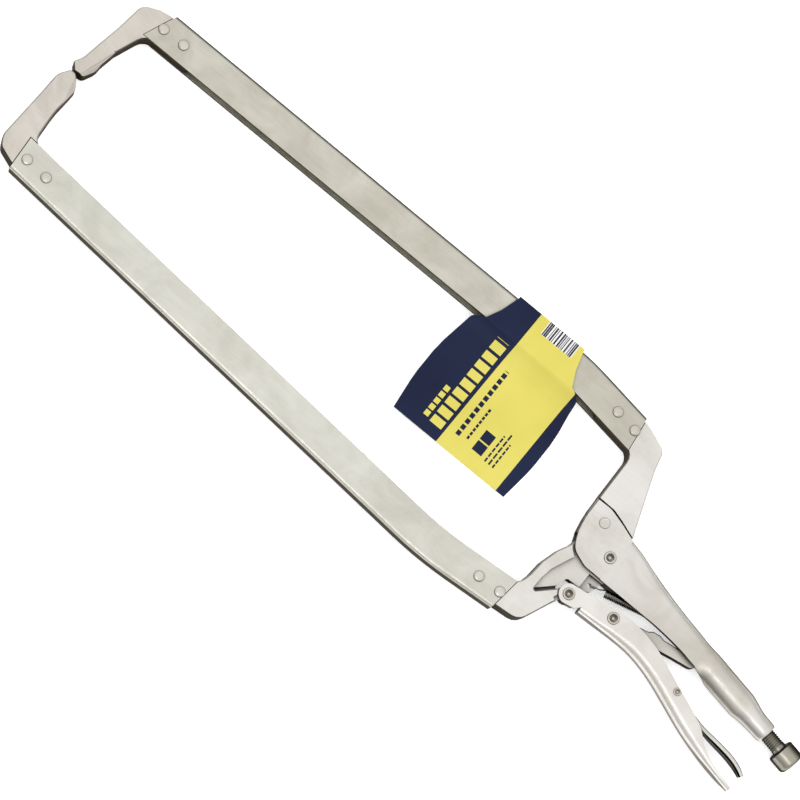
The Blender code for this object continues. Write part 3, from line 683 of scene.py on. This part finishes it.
# outline of the nose plates, drawn at their outer edge before it is rounded over
NOSE = [(-27.4, 24.0, 1.2), (-17.5, 24.3, 16.0), (-6.5, 21.3, 24.0), (5.5, 17.2), (5.5, 9.0), (16.0, 6.0),
        (16.0, -14.4), (-9.0, -14.4, 9.0), (-20.6, -10.2, 10.0), (-25.8, 0.5, 30.0), (-27.4, 12.0, 30.0)]
NOSE_INSET = 0.55


def beside_screw(distance, height):
    """x and y at a distance along the screw's axis and a height above it."""
    point = SCREW_POINT + SCREW_AXIS * distance + SCREW_SIDE * height
    return point.x, point.y


def flush_plates(near, far):
    """Two plates in line with the flanges of a formed sheet."""
    return merged([prism(near, HALF - SHEET - JOIN, HALF + JOIN),
                   prism(far, -HALF - JOIN, SHEET + JOIN - HALF)])


def handle_path(depth, bend, closure, radius, turns=10, runs=10):
    """Half of a section between an open U and a nearly closed tube."""
    first, seam = math.radians(8.0), math.radians(177.0)
    wide = min(radius, TUBE_HALF)
    path = [(0.0, 0.0)]
    for i in range(turns + 1):
        angle = math.pi / 2.0 * i / turns
        swept = first + (math.pi / 2.0 - first) * i / turns
        square = Vector((HALF - bend + bend * math.sin(angle), bend - bend * math.cos(angle)))
        tube = Vector((wide * math.sin(swept), radius - radius * math.cos(swept)))
        path.append(tuple(square.lerp(tube, closure)))
    for i in range(1, runs + 1):
        swept = math.pi / 2.0 + (seam - math.pi / 2.0) * i / runs
        square = Vector((HALF, bend + (depth - bend) * i / runs))
        tube = Vector((wide * math.sin(swept), radius - radius * math.cos(swept)))
        path.append(tuple(square.lerp(tube, closure)))
    return path


def fixed_handle_rows():
    """x, y, heading, depth, bend, closure, tube radius and wall along the handle."""
    rows = [(x, y, heading, depth, bend, 0.0, radius, SHEET) for x, y, heading, depth, bend, radius in BODY]
    for distance, upper, lower in TUBE:
        closure = 0.5 if distance < HALF_CLOSED else 1.0
        wall = SHEET if distance < NECK_START else min(SHEET, lower - NECK_BORE)
        rows.append((*beside_screw(distance, upper), math.degrees(SCREW_ANGLE), TUBE_DEPTH, TUBE_BEND,
                     closure, (upper + lower) / 2.0, wall))
    return eased(rows, 2.0)


def fixed_handle(material):
    """Two nose plates, a U that closes into a tube, and a neck around the screw."""
    rings = []
    for x, y, heading, depth, bend, closure, radius, wall in fixed_handle_rows():
        closure = min(max(closure, 0.0), 1.0)
        angle = math.radians(heading)
        down = Vector((math.sin(angle), -math.cos(angle)))
        trim = FAR_TRIM * (1.0 - closure) * min(max((x - TRIM_START) / TRIM_RUN, 0.0), 1.0)
        ring = []
        for across, deep in closed_section(handle_path(depth, bend, closure, radius), wall):
            if across < 0.0:
                deep -= trim * deep / depth
            point = Vector((x, y)) + down * deep
            ring.append((point.x, point.y, across))
        rings.append(ring)
    item = add_piece("fixed_handle.form", loft(rings), material, "fixed_frame")
    nose = inset(rounded(NOSE), NOSE_INSET)
    holes = merged([pin_holes([JAW_PIVOT], PIN_HOLE), pin_holes([NOSE_RIVET], NOSE_HOLE)])
    shaped(item, [holes], [flush_plates(nose, nose)], 0.45)
    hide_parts("fixed_handle")


# x and y of the web, heading, flange depth, skew of the lips, bend, half width
LOWER_HANDLE = [
    (5.0, -38.0, 1.0, 12.6, 0.0, 3.2, HALF), (18.0, -37.6, 1.5, 14.8, 0.0, 4.0, HALF),
    (32.0, -37.2, 0.5, 16.2, 0.0, 5.2, HALF), (43.0, -37.5, -4.0, 15.2, 0.0, 6.0, HALF),
    (54.0, -39.2, -12.0, 14.4, -1.0, 6.3, HALF), (66.0, -42.6, -18.0, 13.2, -2.0, 6.3, HALF),
    (80.0, -47.8, -21.5, 12.6, -3.0, 6.3, HALF), (94.0, -53.2, -20.5, 12.6, -3.0, 6.2, HALF),
    (104.0, -56.5, -16.5, 11.2, -1.0, 6.0, HALF), (114.0, -59.1, -13.0, 6.6, -1.0, 5.0, HALF),
    (121.0, -60.6, -11.6, 4.2, 0.0, 3.9, 6.9), (128.0, -61.9, -10.4, 3.2, 0.0, 3.0, 6.5),
    (134.0, -63.0, -9.5, 3.0, 0.0, 2.8, 5.8), (139.0, -63.8, -8.6, 2.9, 0.0, 2.7, 4.8),
    (142.6, -64.3, -8.0, 2.8, 0.0, 2.6, 3.6)]
EAR_RADIUS = 6.3
FAR_EAR_INSET = 1.4


def lower_handle(material):
    """Formed channel: ears at the front, flanges that taper into a flared tail."""
    def section(row):
        depth, skew, bend, half = row[3:]
        return u_path(depth, min(bend, depth - 0.1), half), skew

    data = folded(eased(LOWER_HANDLE, 2.5), 1.0, SHEET, section)
    item = add_piece("lower_handle.form", data, material, "lower_handle")
    ear = rounded(arc(HANDLE_PIVOT, EAR_RADIUS, 95.0, 268.0, 24) + [
        (1.6, -38.2, 1.5), (5.6, -34.0), (14.0, -33.6), (14.0, -23.8), (5.0, -25.6, 20.0)])
    holes = merged([pin_holes([HANDLE_PIVOT, LINK_PIVOT], PIN_HOLE), pin_holes([LEVER_PIVOT], LEVER_HOLE)])
    shaped(item, [holes], [flush_plates(ear, inset(ear, FAR_EAR_INSET))], 0.4)
    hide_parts("lower_handle")


# x and y of the web, heading, flange depth, half width
RELEASE_LEVER = [
    (49.0, -31.9, -3.0, 2.2, 4.3), (60.0, -32.6, -6.0, 2.4, 4.3), (70.0, -34.0, -12.0, 4.2, 4.3),
    (76.0, -34.2, -6.0, 6.4, 4.3), (82.0, -34.6, -10.0, 6.8, 4.3), (90.0, -37.6, -20.0, 6.2, 4.3),
    (98.0, -40.3, -17.0, 4.6, 4.3), (103.5, -41.8, -12.0, 3.0, 4.3), (110.0, -42.95, -8.9, 2.65, 4.3),
    (113.5, -43.45, -7.8, 2.75, 5.3), (117.0, -43.85, -6.9, 2.8, 6.2), (121.0, -44.3, -6.6, 2.8, 6.5),
    (125.0, -44.75, -7.5, 2.8, 6.6), (131.0, -45.6, -11.0, 2.8, 6.5), (136.5, -46.9, -17.0, 2.8, 6.2),
    (141.0, -48.6, -26.0, 2.6, 5.5), (145.0, -50.9, -34.0, 2.2, 4.3)]
LEVER_SHEET = 1.5
LEVER_BEND = 1.7


def release_lever(material):
    """Formed lever: a small channel at its pivot and a flat spoon at its tail."""
    def section(row):
        depth, half = row[3:]
        return u_path(depth, LEVER_BEND, half), 0.0

    data = folded(eased(RELEASE_LEVER, 1.5), -1.0, LEVER_SHEET, section)
    item = add_piece("release_lever.form", data, material, "release_lever")
    shaped(item, [pin_holes([LEVER_PIVOT], LEVER_HOLE)], [], 0.3)
    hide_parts("release_lever")


def slot_shade_filler(material):
    """Thin sheet half way down the slot of the movable jaw's base, put there so that the slot shows dark
    shade instead of the floor.
    """
    data = prism([(-13.3, -34.9), (-24.2, -45.3), (-25.1, -44.2), (-14.7, -33.5)], -5.0, 0.0)
    item = add_piece("movable_jaw_base.shade_filler", data, material, "movable_jaw")
    shaped(item, [], [], 0.1)


# ------------------------------------------------------------------ rivets

# (radius, z, rounding) of half a rivet, from the middle of its lower head outwards
DOMED = [(0.0, -8.15, 0.0), (2.0, -7.95, 1.2), (3.3, -7.45, 0.5), (3.45, -7.02, 0.1), (2.4, -7.02, 0.0)]
FLUSH = [(0.0, -7.25, 0.0), (2.3, -7.28, 0.6), (2.9, -7.5, 0.25), (3.35, -7.3, 0.2), (3.45, -7.02, 0.1),
         (2.4, -7.02, 0.0)]
DISHED = [(0.0, -5.9, 0.0), (0.9, -6.0, 0.3), (2.5, -7.35, 0.4), (2.9, -7.62, 0.3), (3.6, -7.4, 0.3),
          (3.9, -7.02, 0.1), (2.9, -7.02, 0.0)]
SMALL = [(0.0, -6.5, 0.0), (0.6, -6.55, 0.2), (1.6, -7.25, 0.3), (2.0, -7.4, 0.2), (2.4, -7.3, 0.2),
         (2.6, -7.02, 0.1), (1.6, -7.02, 0.0)]
# x and y of the arm rivets
RIVETS = {
    "upper_front": [(-409.8, 76.8), (-394.5, 77.0)],
    "upper_rear": [(-50.9, 73.2), (-35.9, 70.9)],
    "lower_front": [(-421.1, -38.8), (-405.6, -40.0)],
    "lower_rear": [(-55.0, -59.8), (-39.4, -59.2)],
}


def rivet(node, centre, body, profile, material):
    """A headed rivet through the part, the same on both sides."""
    points = rounded_profile(profile)
    points = points + [(radius, -z) for radius, z in reversed(points)]
    data = placed(turned(points, 36), (*centre, 0.0), (0.0, 0.0, 1.0))
    item = add_piece(node + ".head", data, material, body)
    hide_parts(node)


def rivets(material):
    """Two rivets at each end of both arms, one in the nose, and the pivots."""
    for place, centres in RIVETS.items():
        body = "fixed_frame" if place.startswith("upper") else "movable_jaw"
        for number, centre in enumerate(centres, start=1):
            rivet(f"{place}_rivet_{number}", centre, body, DOMED, material)
    rivet("nose_rivet", NOSE_RIVET, "fixed_frame", FLUSH, material)
    rivet("jaw_pivot_rivet", JAW_PIVOT, "fixed_frame", DISHED, material)
    rivet("handle_pivot_rivet", HANDLE_PIVOT, "lower_handle", DISHED, material)
    rivet("link_pivot_rivet", LINK_PIVOT, "lower_handle", DISHED, material)
    rivet("lever_pivot_rivet", LEVER_PIVOT, "lower_handle", SMALL, material)


# ------------------------------------------------------------------ screw and spring

# the thread's pitch, the radii of its crest, its root and the turned point, and where it
# starts and ends along the screw's axis; the spigot has a radius and an end
PITCH = 1.5
CREST = 4.8
ROOT = 4.25
POINT = 3.6
THREAD_START = -18.0
THREAD_END = 49.9
SPIGOT = (3.0, 56.2)


def adjusting_screw(material):
    """A rod with a rolled helical thread and a rounded tip."""
    per_turn = 8
    count = round((THREAD_END - THREAD_START) / PITCH * per_turn)
    profile = [(0.0, THREAD_START)]
    profile += [(1.0, THREAD_START + PITCH * i / per_turn) for i in range(count + 1)]
    profile += [(SPIGOT[0], THREAD_END + 0.1), SPIGOT, (0.0, SPIGOT[1])]

    def thread(radius, z, angle):
        """The thread's radius, which fades in at the point and out at the spigot."""
        if z > THREAD_END:
            return radius
        turn = (z / PITCH - angle / (2.0 * math.pi)) % 1.0
        tooth = min(max(abs(turn - 0.5) * 3.4 - 0.35, 0.0), 1.0)
        tip = min(1.0, (z - THREAD_START) / 2.2)
        runout = min(1.0, max(0.0, (THREAD_END - 1.2 - z) / 2.0))
        body = POINT + (CREST - POINT) * min(1.0, max(0.0, z + 9.0))
        return (body - (CREST - ROOT) * tooth * runout) * (0.72 + 0.28 * math.sqrt(tip))

    data = placed(turned(profile, 32, thread), SCREW_POINT, SCREW_AXIS)
    item = add_piece("adjusting_screw.thread", data, material, "adjusting_screw", 60.0)
    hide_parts("adjusting_screw")


def adjusting_knob(material):
    """A turned knob: rounded rims and a shallow dished end."""
    corners = [(0.0, 56.5, 0.0), (3.3, 56.5, 0.0), (3.3, 50.2, 0.1), (7.9, 50.25, 0.3), (8.4, 50.8, 0.3),
               (8.4, 60.2, 0.7), (7.5, 61.5, 0.6), (6.6, 61.8, 0.5), (5.4, 61.55, 0.5), (0.0, 61.45, 0.0)]
    data = placed(turned(rounded_profile(corners), 72), SCREW_POINT, SCREW_AXIS)
    item = add_piece("adjusting_knob.form", data, material, "adjusting_knob", 50.0)
    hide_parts("adjusting_knob")


# the hooks' places, and how much of each end is straight wire
SPRING_START = Vector((0.9, -20.4, 0.0))
SPRING_END = Vector((63.0, -5.0, 0.0))
WIRE = 0.45
COIL_RADIUS = 2.2
COIL_PITCH = 1.12
JAW_LEAD = 11.0
HANDLE_LEAD = 7.0


def jaw_spring(material):
    """Close-wound spring with a hook at each end, from the jaw's ear to the handle."""
    length = (SPRING_END - SPRING_START).length
    along = (SPRING_END - SPRING_START).normalized()
    across = Vector((-along.y, along.x, 0.0))
    up = Vector((0.0, 0.0, 1.0))
    path = []
    for k in range(11):
        angle = math.radians(-170.0 + 260.0 * k / 10)
        loop = along * (1.9 + 1.9 * math.cos(angle + math.pi / 2.0)) + up * 2.6 * math.sin(angle)
        path.append(SPRING_START + loop + across * 0.3 * math.cos(angle))
    path.append(SPRING_START + along * 6.5 + across * 0.4 + up * 1.8)
    per_turn = 12
    wound = length - JAW_LEAD - HANDLE_LEAD
    steps = round(wound / COIL_PITCH) * per_turn
    for k in range(steps + 1):
        angle = 2.0 * math.pi * k / per_turn
        middle = SPRING_START + along * (JAW_LEAD + wound * k / steps)
        path.append(middle + across * (COIL_RADIUS * math.cos(angle)) + up * (COIL_RADIUS * math.sin(angle)))
    path.append(SPRING_START + along * (length - 3.5) + across * 0.6 + up * 0.5)
    for k in range(9):
        angle = math.radians(200.0 * k / 8)
        bend = up * (1.6 * math.sin(angle) - 0.4) - along * 1.2 * math.cos(angle)
        path.append(SPRING_END + bend + across * 0.2)
    item = add_piece("jaw_spring.coil", sweep(path, WIRE, 7), material, None, 60.0)
    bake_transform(item)
    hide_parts("jaw_spring")


# ------------------------------------------------------------------ the whole clamp

def add_clamp():
    """Dress the kept CAD nodes and replace the others with fine pieces."""
    metal = {name: steel(name, **look) for name, look in METALS.items()}
    card = card_material("printed_card")
    refine("upper_arm_channel", metal["plated_sheet"], 0.35)
    refine("lower_arm_channel", metal["plated_sheet_pale"], 0.35)
    for node in ("upper_jaw", "lower_jaw"):
        refine(node, metal["plated_forging"], 0.45)
    for node in ("fixed_jaw_base", "movable_jaw_base", "toggle_link"):
        refine(node, metal["plated_forging_pale"], 0.45)
    # a sheet in the slot that stands in for shade
    slot_shade_filler(metal["plated_forging_pale"])
    fixed_handle(metal["handle_steel"])
    lower_handle(metal["handle_steel_pale"])
    release_lever(metal["lever_steel"])
    refine("display_card", card, 0.05, 1)
    adjusting_screw(metal["screw_steel"])
    adjusting_knob(metal["knob_steel"])
    jaw_spring(metal["spring_wire"])
    rivets(metal["rivet_steel"])


# ------------------------------------------------------------------ floor and light

FLOOR_HALF = 1.6


def add_floor():
    """A plain pale floor that glows a little, so that it stays white around the clamp."""
    data = bmesh.new()
    corners = ((-1, -1), (1, -1), (1, 1), (-1, 1))
    data.faces.new([data.verts.new((x * FLOOR_HALF, y * FLOOR_HALF, 0.0)) for x, y in corners])
    mesh = bpy.data.meshes.new("floor")
    data.to_mesh(mesh)
    data.free()
    s = Shader("floor_paint")
    tone = s.remap(s.noise(3.0, 2.0, 0.5), 0.3, 0.7, 0.0, 1.0)
    s.link(s.mix(tone, (0.89, 0.89, 0.89), (0.91, 0.91, 0.91)), s.bsdf.inputs["Base Color"])
    s.bsdf.inputs["Roughness"].default_value = 0.9
    s.bsdf.inputs["Emission Color"].default_value = (1.0, 1.0, 1.0, 1.0)
    s.bsdf.inputs["Emission Strength"].default_value = 0.5
    mesh.materials.append(s.material)
    floor = bpy.data.objects.new("floor", mesh)
    bpy.context.scene.collection.objects.link(floor)


# how bright the surround is: (height above the horizon, tone), and along a level direction
HEIGHT_TONES = [(-0.2, 0.14), (0.05, 0.30), (0.45, 0.80), (0.85, 1.0)]
SIDE_TONES = [(-0.9, 0.72), (-0.35, 0.92), (0.1, 1.0)]
SIDE_DIRECTION = (0.19, 0.98, 0.0)


def add_light():
    """A pale studio: bright overhead, dark towards the horizon, a strip and soft fills."""
    scene = bpy.context.scene
    scene.view_settings.view_transform = "Standard"
    surround = bpy.data.worlds.new("studio")
    scene.world = surround
    surround.use_nodes = True
    tree = surround.node_tree
    background = tree.nodes["Background"]
    coords = tree.nodes.new("ShaderNodeTexCoord")

    def ramp_along(direction, stops):
        """A grey ramp by how far the view direction points along another one."""
        dot = tree.nodes.new("ShaderNodeVectorMath")
        dot.operation = "DOT_PRODUCT"
        dot.inputs[1].default_value = Vector(direction).normalized()
        tree.links.new(coords.outputs["Generated"], dot.inputs[0])
        shift = tree.nodes.new("ShaderNodeMapRange")
        shift.inputs["From Min"].default_value = -1.0
        tree.links.new(dot.outputs["Value"], shift.inputs["Value"])
        ramp = tree.nodes.new("ShaderNodeValToRGB")
        tree.links.new(shift.outputs["Result"], ramp.inputs["Fac"])
        ramp.color_ramp.interpolation = "EASE"
        elements = ramp.color_ramp.elements
        while len(elements) < len(stops):
            elements.new(0.5)
        for element, (position, tone) in zip(elements, stops):
            element.position = position / 2.0 + 0.5
            element.color = (tone, tone, tone, 1.0)
        return ramp.outputs["Color"]

    height = ramp_along((0.0, 0.0, 1.0), HEIGHT_TONES)
    side = ramp_along(SIDE_DIRECTION, SIDE_TONES)
    both = tree.nodes.new("ShaderNodeMix")
    both.data_type = "RGBA"
    both.blend_type = "MULTIPLY"
    both.inputs[0].default_value = 1.0
    tree.links.new(height, both.inputs[6])
    tree.links.new(side, both.inputs[7])
    tree.links.new(both.outputs[2], background.inputs["Color"])

    def area(name, location, target, size, power, glossy=True):
        """A rectangular lamp that faces a point; a fill leaves no reflection."""
        data = bpy.data.lights.new(name, "AREA")
        data.shape = "RECTANGLE"
        data.size, data.size_y = size
        data.energy = power
        lamp = bpy.data.objects.new(name, data)
        lamp.location = location
        direction = Vector(target) - Vector(location)
        lamp.rotation_euler = direction.to_track_quat("-Z", "Y").to_euler()
        lamp.visible_glossy = glossy
        scene.collection.objects.link(lamp)

    area("strip", (0.1, -1.15, 2.5), (0.1, 0.0, 0.0), (1.8, 0.45), 7.0)
    area("fill_left", (-1.4, 0.3, 2.2), (0.0, 0.0, 0.0), (1.6, 1.6), 10.0, False)
    area("fill_right", (1.4, 0.3, 2.2), (0.0, 0.0, 0.0), (1.6, 1.6), 10.0, False)
    area("fill_top", (0.0, 0.2, 2.9), (0.0, 0.0, 0.0), (2.4, 2.4), 16.0, False)


add_floor()
add_light()
add_camera()
add_clamp()
